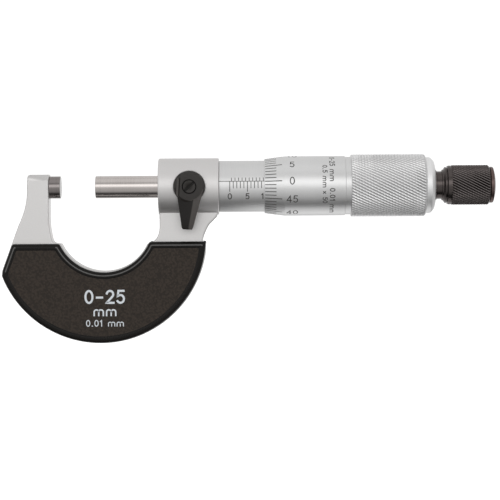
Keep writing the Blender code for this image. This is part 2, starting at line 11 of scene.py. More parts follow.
import bmesh
import bpy
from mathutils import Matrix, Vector

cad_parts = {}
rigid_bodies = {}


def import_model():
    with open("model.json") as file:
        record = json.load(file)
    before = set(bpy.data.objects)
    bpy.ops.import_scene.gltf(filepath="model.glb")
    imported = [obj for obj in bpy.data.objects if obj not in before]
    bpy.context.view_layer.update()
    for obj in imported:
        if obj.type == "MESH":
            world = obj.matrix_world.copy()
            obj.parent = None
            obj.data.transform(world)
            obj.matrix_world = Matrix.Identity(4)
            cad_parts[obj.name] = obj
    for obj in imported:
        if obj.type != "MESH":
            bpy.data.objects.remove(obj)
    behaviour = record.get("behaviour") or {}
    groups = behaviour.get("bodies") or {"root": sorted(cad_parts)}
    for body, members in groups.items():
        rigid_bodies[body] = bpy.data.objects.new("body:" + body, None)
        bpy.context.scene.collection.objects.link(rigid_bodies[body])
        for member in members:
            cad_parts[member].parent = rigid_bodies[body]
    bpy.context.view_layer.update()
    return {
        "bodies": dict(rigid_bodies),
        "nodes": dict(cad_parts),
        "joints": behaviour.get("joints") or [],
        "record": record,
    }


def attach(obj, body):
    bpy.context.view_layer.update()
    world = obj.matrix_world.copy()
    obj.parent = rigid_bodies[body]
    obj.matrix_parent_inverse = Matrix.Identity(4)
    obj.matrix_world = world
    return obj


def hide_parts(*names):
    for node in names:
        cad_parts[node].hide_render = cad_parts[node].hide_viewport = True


MM = 0.001

# Measuring line
ANVIL_FACE, FACE_R, ARM_INNER = 0.45, 3.175, -2.75
SPINDLE_FACE = ANVIL_FACE + 10.0

# Frame
PLATE_HALF, PLATE_EDGE, ARM_TOP, ARM_BEVEL_Z, ARM_BEVEL_Y = 3.2, 0.45, 3.68, 2.0, 1.0
THROAT = (12.925, -10.34, 13.63)  # centre x, centre z, radius
BACK = (11.87, -14.21, 30.35)
SLOPE_TOP, SLOPE_FOOT = (-11.5, -10.8), (-16.4, -24.0)
BOSS_R, BOSS_START, BOSS_END = 8.1, 28.5, 45.75

# Covers
COVER_T, COVER_INSET, COVER_THROAT_INSET, COVER_CORNER = 1.6, 0.22, 0.28, 0.6
COVER_ROUND, COVER_BORDER, COVER_RECESS = 1.0, 1.75, 0.15
COVER_TOP_LEFT, COVER_TOP_RIGHT = -16.05, -15.6

# Sleeve and its scale
SLEEVE_R, SLEEVE_START, SLEEVE_END = 7.3, 45.8, 79.5
SCALE_ZERO, SCALE_LENGTH = 48.87, 25
DATUM = math.radians(11.3)  # the datum line's height round the sleeve, from -Y towards +Z
THIMBLE_DATUM = math.radians(10.2)  # the thimble's zero line, level with the datum line from the front

# Thimble
EDGE, EDGE_R, BEVEL_END, THIMBLE_R, THIMBLE_BORE = 58.75, 7.73, 64.5, 8.5, 7.45
GROOVE_START, GROOVE_END, GROOVE_R = 81.7, 83.3, 8.25
GRIP_R, GRIP_END, CAP_R, CAP_END = 8.94, 104.7, 8.0, 107.5
DIVISIONS = 50

# Lock
LOCK_X, LEVER_SEAT_Y, LEVER_SEAT_R = 37.45, -6.35, 4.6
LEVER_BACK_Y, LEVER_FRONT_Y, ARM_BACK_Y = -6.75, -9.7, -7.98
LEVER_R, LEVER_REACH, LEVER_LEAN, SCREW_SLOT_ANGLE = 4.45, 12.1, math.radians(3.4), math.radians(43)

# Ratchet stop
NECK_R, KNOB_START = 3.95, 109.4
KNOB_R, KNOB_GRIP_START, KNOB_GRIP_END, KNOB_END, KNOB_END_R = 5.71, 112.25, 122.4, 123.2, 5.2
DOME_R, DOME_RIM, DOME_TOP = 5.15, 124.1, 124.6

# Marks: how far they run, how wide their strokes are and how high the numbers stand
TICK_LONG, TICK_SHORT, TICK_HALF = 2.9, 1.9, 0.95
DIVISION_START, DIVISION_LONG, DIVISION_SHORT = 0.25, 4.8, 3.2
DATUM_STROKE, TICK_STROKE, HALF_STROKE, NUMBER_STROKE = 0.17, 0.2, 0.19, 0.28
LONG_STROKE, SHORT_STROKE = 0.26, 0.23
SLEEVE_NUMBER, SLEEVE_NUMBER_DROP, THIMBLE_NUMBER, THIMBLE_NUMBER_AT = 1.75, 4.35, 2.15, 7.8
PRINT_X = 13.1
INK_LIFT, INK_DEPTH = 0.004, 0.03


# ---------------------------------------------------------------- materials

def shader(name):
    material = bpy.data.materials.new(name)
    material.use_nodes = True
    tree = material.node_tree
    return material, tree, tree.nodes["Principled BSDF"]


def add(tree, kind, inputs=(), **settings):
    node = tree.nodes.new(kind)
    for key, value in settings.items():
        setattr(node, key, value)
    for key, value in dict(inputs).items():
        if isinstance(value, bpy.types.NodeSocket):
            tree.links.new(value, node.inputs[key])
        else:
            node.inputs[key].default_value = value
    return node


def noise(tree, scale, stretch=(1, 1, 1), detail=3.0, roughness=0.55):
    """Noise in the object's own space, scale features a metre, finer along an axis with a larger stretch."""
    place = add(tree, "ShaderNodeTexCoord").outputs["Object"]
    size = add(tree, "ShaderNodeMapping", {"Vector": place, "Scale": [scale * s for s in stretch]})
    return add(tree, "ShaderNodeTexNoise", {
        "Vector": size.outputs["Vector"], "Scale": 1.0, "Detail": detail, "Roughness": roughness,
    }).outputs["Fac"]


def spread(tree, value, low, high):
    return add(tree, "ShaderNodeMapRange", {
        "Value": value, "From Min": 0.3, "From Max": 0.7, "To Min": low, "To Max": high,
    }).outputs["Result"]


def tint(tree, value, dark, light):
    ramp = add(tree, "ShaderNodeValToRGB", {"Fac": value})
    ramp.color_ramp.elements[0].position, ramp.color_ramp.elements[1].position = 0.3, 0.7
    ramp.color_ramp.elements[0].color = (*dark, 1.0)
    ramp.color_ramp.elements[1].color = (*light, 1.0)
    return ramp.outputs["Color"]


def finish_of(name, dark, light, metallic, rough, grain, bump, stretch=(1, 1, 1), blotch=60, anisotropy=0.0,
              specular=0.5):
    """A finish whose colour, gloss and relief vary: fine grain in the relief, wide blotches in the gloss.

    grain and blotch are features a metre, bump is the relief's height, rough the two ends of the roughness.
    """
    material, tree, principled = shader(name)
    fine = noise(tree, grain, stretch)
    wide = noise(tree, blotch, detail=4.0)
    mixed = add(tree, "ShaderNodeMath", {0: fine, 1: wide}, operation="ADD").outputs[0]
    half = add(tree, "ShaderNodeMath", {0: mixed, 1: 0.5}, operation="MULTIPLY").outputs[0]
    relief = add(tree, "ShaderNodeBump", {"Height": fine, "Strength": 1.0, "Distance": bump * MM})
    links = {
        "Base Color": tint(tree, half, dark, light),
        "Roughness": spread(tree, half, rough[0], rough[1]),
        "Normal": relief.outputs["Normal"],
    }
    for key, socket in links.items():
        tree.links.new(socket, principled.inputs[key])
    principled.inputs["Metallic"].default_value = metallic
    principled.inputs["Anisotropic"].default_value = anisotropy
    principled.inputs["Specular IOR Level"].default_value = specular
    if anisotropy:
        around = add(tree, "ShaderNodeTangent", direction_type="RADIAL", axis="X")
        tree.links.new(around.outputs["Tangent"], principled.inputs["Tangent"])
    return material


def make_materials():
    turned_round = (40, 1, 1)
    return {
        "frame": finish_of("satin_chrome_frame", (0.62, 0.61, 0.604), (0.685, 0.676, 0.67), 1.0, (0.36, 0.46),
                           5200, 0.006),
        "boss": finish_of("satin_chrome_boss", (0.695, 0.683, 0.678), (0.77, 0.757, 0.752), 1.0, (0.47, 0.56),
                          5200, 0.005),
        "cap": finish_of("satin_chrome_cap", (0.86, 0.86, 0.862), (0.93, 0.93, 0.932), 1.0, (0.46, 0.56),
                         260, 0.0035, turned_round),
        "satin": finish_of("satin_chrome_turned", (0.68, 0.68, 0.68), (0.76, 0.76, 0.76), 1.0, (0.38, 0.46),
                           260, 0.0035, turned_round, anisotropy=0.25),
        "grip": finish_of("satin_chrome_grip", (0.7, 0.7, 0.7), (0.8, 0.8, 0.8), 1.0, (0.36, 0.44),
                          4000, 0.004),
        # the knurl's tips take a lighter copy of the chrome, a painted highlight, and the faces deep in its
        # grooves a darker one, painted shade
        "knurl": finish_of("satin_chrome_knurl", (0.86, 0.86, 0.862), (0.95, 0.95, 0.952), 1.0, (0.32, 0.4),
                           4000, 0.003),
        "knurl_groove_painted_shade": finish_of("satin_chrome_knurl_groove", (0.44, 0.437, 0.44), (0.57, 0.566, 0.57), 1.0,
                                  (0.34, 0.42), 4000, 0.003),
        "ground": finish_of("ground_steel", (0.52, 0.48, 0.46), (0.64, 0.6, 0.58), 1.0, (0.1, 0.17),
                            300, 0.0012, turned_round, anisotropy=0.3),
        # the anvil takes a darker copy of the spindle's ground steel: painted shade
        "anvil": finish_of("ground_steel_painted_shade", (0.22, 0.2, 0.195), (0.3, 0.272, 0.265), 1.0, (0.1, 0.16),
                           300, 0.0012, turned_round, anisotropy=0.3),
        "face": finish_of("lapped_face", (0.42, 0.415, 0.41), (0.5, 0.495, 0.49), 1.0, (0.3, 0.4),
                          6000, 0.001),
        "inner": finish_of("machined_steel", (0.38, 0.38, 0.38), (0.52, 0.52, 0.52), 1.0, (0.3, 0.45),
                           260, 0.004, turned_round),
        "brass": finish_of("machined_brass", (0.6, 0.42, 0.16), (0.75, 0.58, 0.28), 1.0, (0.28, 0.4),
                           260, 0.004, turned_round),
        "rim": finish_of("cover_rim", (0.005, 0.0044, 0.0038), (0.01, 0.0088, 0.0078), 0.0, (0.22, 0.32),
                         3000, 0.003, specular=0.15),
        # a lighter black painted on the covers' upward edges: a painted highlight
        "rim_highlight": finish_of("cover_painted_highlight_edge", (0.05, 0.048, 0.046), (0.1, 0.097, 0.094), 0.0, (0.3, 0.4),
                         3000, 0.003),
        "field": make_field(),
        # the lever's blacks: plain, a darker copy painted on as shade and a lighter copy painted on as
        # highlight
        "lever": finish_of("lever_black", (0.0165, 0.014, 0.012), (0.026, 0.0222, 0.0195), 0.0, (0.4, 0.52),
                           3600, 0.012, specular=0.4),
        "lever_painted_shade": finish_of("lever_black_painted_shade", (0.008, 0.007, 0.006), (0.014, 0.012, 0.011), 0.0,
                                (0.42, 0.55), 3600, 0.012, specular=0.25),
        "lever_painted_highlight": finish_of("lever_black_painted_highlight", (0.046, 0.04, 0.036), (0.068, 0.06, 0.055), 0.0,
                               (0.38, 0.5), 3600, 0.012),
        "knob": finish_of("knob_black", (0.072, 0.062, 0.0595), (0.125, 0.108, 0.104), 1.0, (0.16, 0.24),
                          3600, 0.004),
        # the knob's grooves take a darker black, painted shade; its tips a lighter one, partly wear and
        # partly a painted highlight
        "knob_groove_painted_shade": finish_of("knob_black_groove_painted_shade", (0.022, 0.0185, 0.018), (0.04, 0.034, 0.0335), 1.0,
                                 (0.25, 0.35), 3600, 0.004),
        "knob_worn_and_highlight": finish_of("knob_black_worn_and_painted_highlight", (0.155, 0.138, 0.136), (0.245, 0.222, 0.219), 1.0,
                               (0.2, 0.28), 3600, 0.004),
        "dome": finish_of("dome_black", (0.105, 0.075, 0.069), (0.17, 0.122, 0.113), 1.0, (0.25, 0.36),
                          2400, 0.004),
        "ink": finish_of("engraving_ink", (0.03, 0.03, 0.03), (0.06, 0.058, 0.055), 0.0, (0.5, 0.7),
                         5000, 0.002),
        "print": finish_of("silver_print", (0.62, 0.66, 0.7), (0.75, 0.79, 0.83), 0.2, (0.4, 0.55),
                           4200, 0.004),
    }


def make_field():
    """Moulded leather grain: rounded pebbles with creases between them."""
    material, tree, principled = shader("cover_field")
    place = add(tree, "ShaderNodeTexCoord").outputs["Object"]
    drift = add(tree, "ShaderNodeTexNoise", {"Vector": place, "Scale": 900.0, "Detail": 2.0})
    wander = add(tree, "ShaderNodeVectorMath", {0: drift.outputs["Color"], 1: (0.9 * MM,) * 3},
                 operation="MULTIPLY")
    moved = add(tree, "ShaderNodeVectorMath", {0: place, 1: wander.outputs["Vector"]}, operation="ADD")
    cells = add(tree, "ShaderNodeTexVoronoi", {"Vector": moved.outputs["Vector"], "Scale": 1900.0},
                feature="SMOOTH_F1")
    pebble = add(tree, "ShaderNodeMapRange", {
        "Value": cells.outputs["Distance"], "From Min": 0.1, "From Max": 0.75, "To Min": 1.0, "To Max": 0.0,
    }).outputs["Result"]
    fine = noise(tree, 7000)
    height = add(tree, "ShaderNodeMath", {0: fine, 1: 0.35, 2: pebble}, operation="MULTIPLY_ADD").outputs[0]
    relief = add(tree, "ShaderNodeBump", {"Height": height, "Strength": 1.0, "Distance": 0.05 * MM})
    # The creases between the pebbles are painted darker than the pebble tops: painted shade in the creases.
    shade = tint(tree, pebble, (0.0225, 0.0167, 0.0125), (0.038, 0.028, 0.021))
    tree.links.new(shade, principled.inputs["Base Color"])
    principled.inputs["Specular IOR Level"].default_value = 0.22
    tree.links.new(spread(tree, fine, 0.42, 0.6), principled.inputs["Roughness"])
    tree.links.new(relief.outputs["Normal"], principled.inputs["Normal"])
    return material


# ---------------------------------------------------------------- shapes

def new_piece(name, bm, materials, body=None, nodes=(), angle=32, weighted=False):
    bmesh.ops.remove_doubles(bm, verts=bm.verts, dist=1e-8)
    bmesh.ops.translate(bm, vec=(-ANVIL_FACE * MM, 0, 0), verts=bm.verts)
    bmesh.ops.recalc_face_normals(bm, faces=bm.faces)
    mesh = bpy.data.meshes.new(name)
    bm.to_mesh(mesh)
    bm.free()
    for material in materials:
        mesh.materials.append(material)
    mesh.shade_smooth()
    mesh.set_sharp_from_angle(angle=math.radians(angle))
    obj = bpy.data.objects.new(name, mesh)
    bpy.context.scene.collection.objects.link(obj)
    if weighted:
        obj.modifiers.new("flat_faces", "WEIGHTED_NORMAL").keep_sharp = True
    if body:
        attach(obj, body)
        if nodes:
            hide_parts(*nodes)
    return obj


def paint(obj, start, end, index, inner=0.0, outer=math.inf):
    """Gives the faces between two X positions and two radii another of the object's materials."""
    for face in obj.data.polygons:
        place = face.center / MM
        if start < place.x + ANVIL_FACE < end and inner < math.hypot(place.y, place.z) < outer:
            face.material_index = index


def bridge(bm, rings, loop=False, material=0):
    pairs = list(zip(rings, rings[1:]))
    if loop:
        pairs.append((rings[-1], rings[0]))
    for low, high in pairs:
        count = max(len(low), len(high))
        for k in range(count):
            n = (k + 1) % count
            corners = [low[k % len(low)], low[n % len(low)], high[n % len(high)], high[k % len(high)]]
            unique = list(dict.fromkeys(corners))
            if len(unique) > 2:
                bm.faces.new(unique).material_index = material


def fillets(profile, steps=5):
    """Rounds each corner that carries a radius: (along, out, radius) among plain (along, out) points."""
    points = []
    count = len(profile)
    for k, corner in enumerate(profile):
        if len(corner) < 3:
            points.append(tuple(corner))
            continue
        here = Vector(corner[:2])
        before = (Vector(profile[k - 1][:2]) - here).normalized()
        after = (Vector(profile[(k + 1) % count][:2]) - here).normalized()
        half = before.angle(after) / 2
        reach = corner[2] / math.tan(half)
        middle = here + (before + after).normalized() * (corner[2] / math.sin(half))
        start, end = here + before * reach - middle, here + after * reach - middle
        turn = start.angle_signed(end)
        for s in range(steps + 1):
            a = -turn * s / steps
            points.append((middle.x + start.x * math.cos(a) - start.y * math.sin(a),
                           middle.y + start.x * math.sin(a) + start.y * math.cos(a)))
    return points


def turned(name, profile, materials, body=None, nodes=(), steps=192, axis="X", at=(0, 0, 0),
           angle=32):
    """A body of revolution from (along, radius) points, or (along, [radius at each step]) in a knurl."""
    bm = bmesh.new()
    rings = []
    for along, radius in profile:
        radii = radius if isinstance(radius, list) else [radius] * (1 if radius == 0 else steps)
        ring = []
        for k, r in enumerate(radii):
            angle_k = 2 * math.pi * k / len(radii)
            u, v = -r * math.cos(angle_k), r * math.sin(angle_k)
            point = (along, u, v) if axis == "X" else (u, along, v)
            ring.append(bm.verts.new([(p + o) * MM for p, o in zip(point, at)]))
        rings.append(ring)
    bridge(bm, rings, loop=len(rings[0]) > 1)
    return new_piece(name, bm, materials, body, nodes, angle)


def knurl(start, end, radius, depth, starts, period, second, chamfer, samples=8):
    """Rings of a diamond knurl: starts grooves, crossed by as many others a share, second, as deep.

    period is a groove's pitch along X, and chamfer bevels both ends.
    """
    count = starts * samples
    rows = max(round((end - start) / period * samples), 2)
    rings = []
    for row in range(rows + 1):
        x = start + (end - start) * row / rows
        rise = (x - start) / period
        fall = max(chamfer - (x - start), chamfer - (end - x), 0.0)
        radii = []
        for k in range(count):
            around = k / samples
            first, other = (min((1 - abs(2 * ((around + s * rise) % 1.0) - 1)) / 0.94, 1.0) for s in (1, -1))
            height = min(first, 1 - second * (1 - other))
            radii.append(min(radius - depth * (1 - height), radius - fall))
        rings.append((x, radii))
    return rings


def slab(name, layers, materials, body=None, nodes=(), material_of=None, angle=32):
    """A plate from XZ outlines of equal length, each at its own Y. material_of gives each wall's material."""
    bm = bmesh.new()
    rings = [[bm.verts.new((x * MM, y * MM, z * MM)) for x, z in line] for y, line in layers]
    for k, (low, high) in enumerate(zip(rings, rings[1:])):
        bridge(bm, [low, high], material=material_of[k] if material_of else 0)
    bm.faces.new(rings[0]).material_index = 0
    bm.faces.new(rings[-1]).material_index = material_of[-1] if material_of else 0
    return new_piece(name, bm, materials, body, nodes, angle, weighted=True)


def lofted(name, sections, materials):
    """A closed body through sections that have equally many (x, y, z) points."""
    bm = bmesh.new()
    rings = [[bm.verts.new([c * MM for c in point]) for point in section] for section in sections]
    bridge(bm, rings)
    bm.faces.new(rings[0])
    bm.faces.new(rings[-1])
    return new_piece(name, bm, materials)


def change(obj, tool, operation="DIFFERENCE"):
    """Applies a Boolean at once and drops the tool."""
    modifier = obj.modifiers.new("change", "BOOLEAN")
    modifier.operation, modifier.solver, modifier.object = operation, "EXACT", tool
    with_weights = [m for m in obj.modifiers if m.type == "WEIGHTED_NORMAL"]
    for other in with_weights:
        obj.modifiers.remove(other)
    bpy.context.view_layer.update()
    graph = bpy.context.evaluated_depsgraph_get()
    made = bpy.data.meshes.new_from_object(obj.evaluated_get(graph))
    obj.modifiers.remove(modifier)
    obj.data = made
    made.shade_smooth()
    made.set_sharp_from_angle(angle=math.radians(32))
    if with_weights:
        obj.modifiers.new("flat_faces", "WEIGHTED_NORMAL").keep_sharp = True
    bpy.data.objects.remove(tool, do_unlink=True)


def inset(outline, distance):
    moved = []
    for k, (x, z) in enumerate(outline):
        (x0, z0), (x1, z1) = outline[k - 1], outline[(k + 1) % len(outline)]
        a, b = (x - x0, z - z0), (x1 - x, z1 - z)
        la, lb = math.hypot(*a), math.hypot(*b)
        na, nb = (-a[1] / la, a[0] / la), (-b[1] / lb, b[0] / lb)
        scale = distance / (1 + na[0] * nb[0] + na[1] * nb[1])
        moved.append((x + (na[0] + nb[0]) * scale, z + (na[1] + nb[1]) * scale))
    return moved


def arc(circle, start, end, steps):
    cx, cz, radius = circle
    angles = [math.radians(start + (end - start) * k / steps) for k in range(steps + 1)]
    return [(cx + radius * math.cos(a), cz + radius * math.sin(a)) for a in angles]


def smooth_through(points, steps=6):
    """A Catmull-Rom line through the points."""
    line = []
    for k in range(len(points) - 1):
        p = [Vector(points[max(k - 1, 0)]), Vector(points[k]), Vector(points[k + 1]),
             Vector(points[min(k + 2, len(points) - 1)])]
        for s in range(steps):
            t = s / steps
            v = 0.5 * (2 * p[1] + (p[2] - p[0]) * t + (2 * p[0] - 5 * p[1] + 4 * p[2] - p[3]) * t**2
                       + (3 * p[1] - p[0] - 3 * p[2] + p[3]) * t**3)
            line.append((v.x, v.y))
    return line + [tuple(points[-1])]


# ---------------------------------------------------------------- frame and covers

def frame_outline():
    """Anticlockwise, from the top of the left arm's inner edge."""
    top = [(ARM_INNER, ARM_TOP), (-7.9, ARM_TOP), (-8.4, 3.58), (-8.72, 3.3), (-8.82, 2.8)]
    left = smooth_through([
        (-8.95, 0.5), (-8.97, -1.2), (-9.03, -2.6), (-9.3, -4.5), (-9.8, -6.6), (-10.53, -8.65), SLOPE_TOP,
    ])
    left += [(-15.6, -21.85)]
    left += smooth_through([(-16.2, -23.5), (-16.32, -24.2), (-16.28, -24.9), (-16.12, -25.6)], 4)
    outer = arc(BACK, 204.0, 351.0, 150)
    right = [(41.92, -17.5), (41.9, -16.5), (41.8, -16.1), (41.6, -15.95)] + smooth_through([
        (41.0, -15.5), (41.25, -14.4), (41.7, -13.2), (42.2, -12.1), (42.9, -10.9), (44.0, -9.8),
        (45.1, -8.6),
    ])
    right += [(45.4, -7.6), (45.4, -5.0), (28.74, -5.0)]
    inner_right = smooth_through([(28.74, -11.0), (28.7, -12.0), (28.5, -13.1), (28.05, -14.3), (27.2, -15.3),
                                  (26.1, -15.9)])
    inner = arc(THROAT, -26.0, -154.8, 110)
    inner_left = smooth_through([
        (-0.1, -16.02), (-1.0, -15.88), (-1.6, -15.55), (-1.92, -14.95), (-2.17, -14.0), (-2.42, -12.6),
        (-2.6, -11.4), (-2.7, -10.0), (ARM_INNER, -8.5),
    ])
    return top + left + outer + right + inner_right + inner + inner_left


def cover_outline(inward):
    """The cover's edge, moved inwards, always with the same number of points."""
    outer = (BACK[0], BACK[1], BACK[2] - COVER_INSET - inward)
    inner = (THROAT[0], THROAT[1], THROAT[2] + COVER_THROAT_INSET + inward)
    reach = max(COVER_CORNER - inward * 0.2, 0.25)
    slope = math.atan2(SLOPE_FOOT[1] - SLOPE_TOP[1], SLOPE_FOOT[0] - SLOPE_TOP[0])
    shift = COVER_INSET + inward
    foot = (SLOPE_TOP[0] - shift * math.sin(slope), SLOPE_TOP[1] + shift * math.cos(slope))

    def on_slope(z):
        return foot[0] + (z - foot[1]) / math.tan(slope), z

    def on_circle(circle, z, side):
        return circle[0] + side * math.sqrt(circle[2] ** 2 - (z - circle[1]) ** 2), z

    def along(circle, point, step):
        angle = math.atan2(point[1] - circle[1], point[0] - circle[0]) + step / circle[2]
        x, z = circle[0] + circle[2] * math.cos(angle), circle[1] + circle[2] * math.sin(angle)
        return x, z, math.degrees(angle)

    def toward(a, b, far=1.0):
        length = math.dist(a, b)
        return tuple(p + (q - p) * far * reach / length for p, q in zip(a, b))

    def blend(before, corner, after):
        weights = [((1 - t) ** 2, 2 * t * (1 - t), t * t) for t in (k / 8 for k in range(9))]
        return [tuple(w[0] * b + w[1] * c + w[2] * a for b, c, a in zip(before, corner, after))
                for w in weights]

    left_z, right_z = COVER_TOP_LEFT - inward, COVER_TOP_RIGHT - inward
    low_z = SLOPE_FOOT[1]
    for _ in range(30):
        low_z = outer[1] - math.sqrt(max(outer[2] ** 2 - (on_slope(low_z)[0] - outer[0]) ** 2, 0.0))
    top_left, bottom_left = on_slope(left_z), on_slope(low_z)
    top_right, inner_right = on_circle(outer, right_z, 1), on_circle(inner, right_z, 1)
    inner_left = on_circle(inner, left_z, -1)
    start, end = along(outer, bottom_left, 2 * reach), along(outer, top_right, -reach)
    inner_start, inner_end = along(inner, inner_right, -reach), along(inner, inner_left, reach)
    points = blend(toward(top_left, inner_left), top_left, toward(top_left, bottom_left))
    points += blend(toward(bottom_left, top_left, 2.0), bottom_left, start[:2])
    points += arc(outer, start[2] % 360, end[2] % 360, 120)[1:-1]
    points += blend(end[:2], top_right, toward(top_right, inner_right))
    points += blend(toward(inner_right, top_right), inner_right, inner_start[:2])
    far = inner_end[2] - (360 if inner_end[2] > 0 else 0)
    points += arc(inner, inner_start[2], far, 90)[1:-1]
    return points + blend(inner_end[:2], inner_left, toward(inner_left, top_left))


def make_frame(look):
    outline = frame_outline()
    edge = [(PLATE_EDGE * (1 - math.cos(a)), PLATE_EDGE * (1 - math.sin(a)))
            for a in (math.radians(90 * k / 4) for k in range(5))]
    layers = [(-PLATE_HALF + inward, inset(outline, down)) for inward, down in edge]
    layers += [(PLATE_HALF - inward, inset(outline, down)) for inward, down in reversed(edge)]
    frame = slab("frame_body", layers, [look["frame"]])
    boss = turned("boss", fillets([
        (BOSS_START, 0), (BOSS_START, BOSS_R, 0.4), (BOSS_END, BOSS_R, 0.3), (BOSS_END, 0),
    ]), [look["frame"]])
    change(frame, boss, "UNION")
    change(frame, turned("bore", [
        (BOSS_START - 2, 0), (BOSS_START - 2, 3.6), (BOSS_START, 3.6), (BOSS_START + 0.35, 3.22),
        (40.5, 3.22), (40.5, 5.3), (BOSS_END + 2, 5.3), (BOSS_END + 2, 0),
    ], [look["frame"]], steps=96))
    change(frame, turned("lever_seat", [
        (-2.0, 0), (-2.0, 1.8), (LEVER_SEAT_Y, 1.8), (LEVER_SEAT_Y, LEVER_SEAT_R), (-9.0, LEVER_SEAT_R),
        (-9.0, 0),
    ], [look["frame"]], steps=96, axis="Y", at=(LOCK_X, 0, 0)))
    for side in (-1, 1):
        half = PLATE_HALF
        wedge = [(side * (half + 1), ARM_BEVEL_Z - 1.7), (side * (half - ARM_BEVEL_Y), ARM_TOP),
                 (side * (half - ARM_BEVEL_Y), ARM_TOP + 1), (side * (half + 1), ARM_TOP + 1)]
        sections = [[(x, y, z) for y, z in wedge] for x in (-12.0, 1.0)]
        change(frame, lofted("arm_bevel", sections, [look["frame"]]))
    frame.data.materials.append(look["boss"])
    for face in frame.data.polygons:
        around = math.hypot(face.center.y, face.center.z) / MM
        if face.center.x / MM > BOSS_START - 1 and abs(around - BOSS_R) < 0.45 and abs(face.normal.x) < 0.9:
            face.material_index = len(frame.data.materials) - 1
    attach(frame, "frame")
    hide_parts("frame")


def make_covers(look):
    """A rounded border round a smooth strip and a grained field; its upward edges are painted lighter, a
    painted highlight.
    """
    for name, side, node in (("cover_front_skin", -1, "cover_front"), ("cover_rear_skin", 1, "cover_rear")):
        base, top = PLATE_HALF + 0.02, PLATE_HALF + COVER_T
        layers = [(side * base, cover_outline(0))]
        for k in range(9):
            a = math.radians(90 * k / 8)
            layers.append((side * (top - COVER_ROUND * (1 - math.sin(a))),
                           cover_outline(COVER_ROUND * (1 - math.cos(a)))))
        layers.append((side * top, cover_outline(COVER_ROUND + 0.14)))
        for inward, drop in ((-0.2, 0.0), (-0.08, 0.03), (0.0, 0.1), (0.1, COVER_RECESS)):
            layers.append((side * (top - drop), cover_outline(COVER_BORDER + inward)))
        # Bands 8 and 9, at the top of the roll-off, take the painted-highlight black; the top face takes the
        # field.
        kinds = [0] * 8 + [2, 2] + [0] * (len(layers) - 11) + [1]
        finishes = [look["rim"], look["field"], look["rim_highlight"]]
        skin = slab(name, layers, finishes, "frame", [node], kinds)
        # The painted highlight is kept only on the upward edges: the top, the throat and the slope.
        for face in skin.data.polygons:
            if face.material_index == 2:
                x, z = face.center.x / MM + ANVIL_FACE, face.center.z / MM
                inside = math.dist((x, z), THROAT[:2]) < THROAT[2] + 2
                sloping = x < SLOPE_TOP[0] and z > SLOPE_FOOT[1]
                if not (inside or sloping or z > COVER_TOP_LEFT - 0.8):
                    face.material_index = 0


# ---------------------------------------------------------------- marks

def oval(cx, cy, rx, ry, start, end, steps=16):
    angles = [math.radians(start + (end - start) * k / steps) for k in range(steps + 1)]
    return [(cx + rx * math.cos(a), cy + ry * math.sin(a)) for a in angles]


GLYPHS = {
    "0": (0.62, [oval(0.31, 0.5, 0.27, 0.46, 0, 360, 24)]),
    "1": (0.5, [[(0.1, 0.76), (0.3, 0.96), (0.3, 0.04)]]),
    "2": (0.62, [oval(0.31, 0.7, 0.25, 0.26, 165, -35, 12) + [(0.05, 0.04), (0.58, 0.04)]]),
    "3": (0.62, [oval(0.29, 0.74, 0.22, 0.22, 150, -90, 12) + oval(0.29, 0.28, 0.26, 0.24, 90, -150, 12)]),
    "4": (0.66, [[(0.46, 0.04), (0.46, 0.96), (0.04, 0.3), (0.62, 0.3)]]),
    "5": (0.62, [[(0.53, 0.96), (0.14, 0.96), (0.09, 0.56)] + oval(0.29, 0.34, 0.27, 0.3, 115, -145, 14)]),
    "-": (0.6, [[(0.1, 0.45), (0.5, 0.45)]]),
    ".": (0.3, [[(0.11, 0.06), (0.19, 0.06)]]),
    "x": (0.6, [[(0.08, 0.1), (0.52, 0.6)], [(0.08, 0.6), (0.52, 0.1)]]),
    "m": (1.16, [[(0.08, 0.04)] + oval(0.33, 0.42, 0.25, 0.24, 180, 0, 8) + [(0.58, 0.04)],
                 oval(0.83, 0.42, 0.25, 0.24, 165, 0, 8) + [(1.08, 0.04)]]),
    " ": (0.4, []),
}
GAP = 0.2


def resampled(line, longest):
    points = [line[0]]
    for a, b in zip(line, line[1:]):
        parts = max(math.ceil(math.dist(a, b) / longest), 1)
        points += [tuple(p + (q - p) * k / parts for p, q in zip(a, b)) for k in range(1, parts + 1)]
    return points


def ribbon(bm, line, width, place):
    """A stroke along the line as a closed strip let into the surface that place(u, v, lift) gives."""
    closed = math.dist(line[0], line[-1]) < 1e-6
    line = resampled(line, 0.25)
    if closed:
        line = line[:-1]
    rings = []
    count = len(line)
    for k, point in enumerate(line):
        before = line[k - 1] if closed or k else None
        after = line[(k + 1) % count] if closed or k < count - 1 else None
        ways = [(Vector(b) - Vector(a)).normalized() for a, b in ((before, point), (point, after)) if a and b]
        way = sum(ways, Vector((0, 0))).normalized()
        stretch = 1 / max(way.dot(ways[0]), 0.5)
        side = Vector((-way.y, way.x)) * width / 2 * stretch
        here = Vector(point)
        if not closed and k in (0, count - 1):
            here += way * (width / 2) * (1 if k else -1)
        left, right = here + side, here - side
        rings.append([bm.verts.new(place(*left, INK_LIFT)), bm.verts.new(place(*right, INK_LIFT)),
                      bm.verts.new(place(*right, -INK_DEPTH)), bm.verts.new(place(*left, -INK_DEPTH))])
    bridge(bm, rings, loop=closed)
    if not closed:
        bm.faces.new(rings[0])
        bm.faces.new(rings[-1])


def lettering(bm, text, height, width, place):
    """Text centred on 0, 0 of the surface that place gives."""
    total = sum(GLYPHS[c][0] + GAP for c in text) - GAP
    start = -total * height / 2
    for letter in text:
        advance, strokes = GLYPHS[letter]
        for stroke in strokes:
            ribbon(bm, [(start + u * height, (v - 0.5) * height) for u, v in stroke], width, place)
        start += (advance + GAP) * height


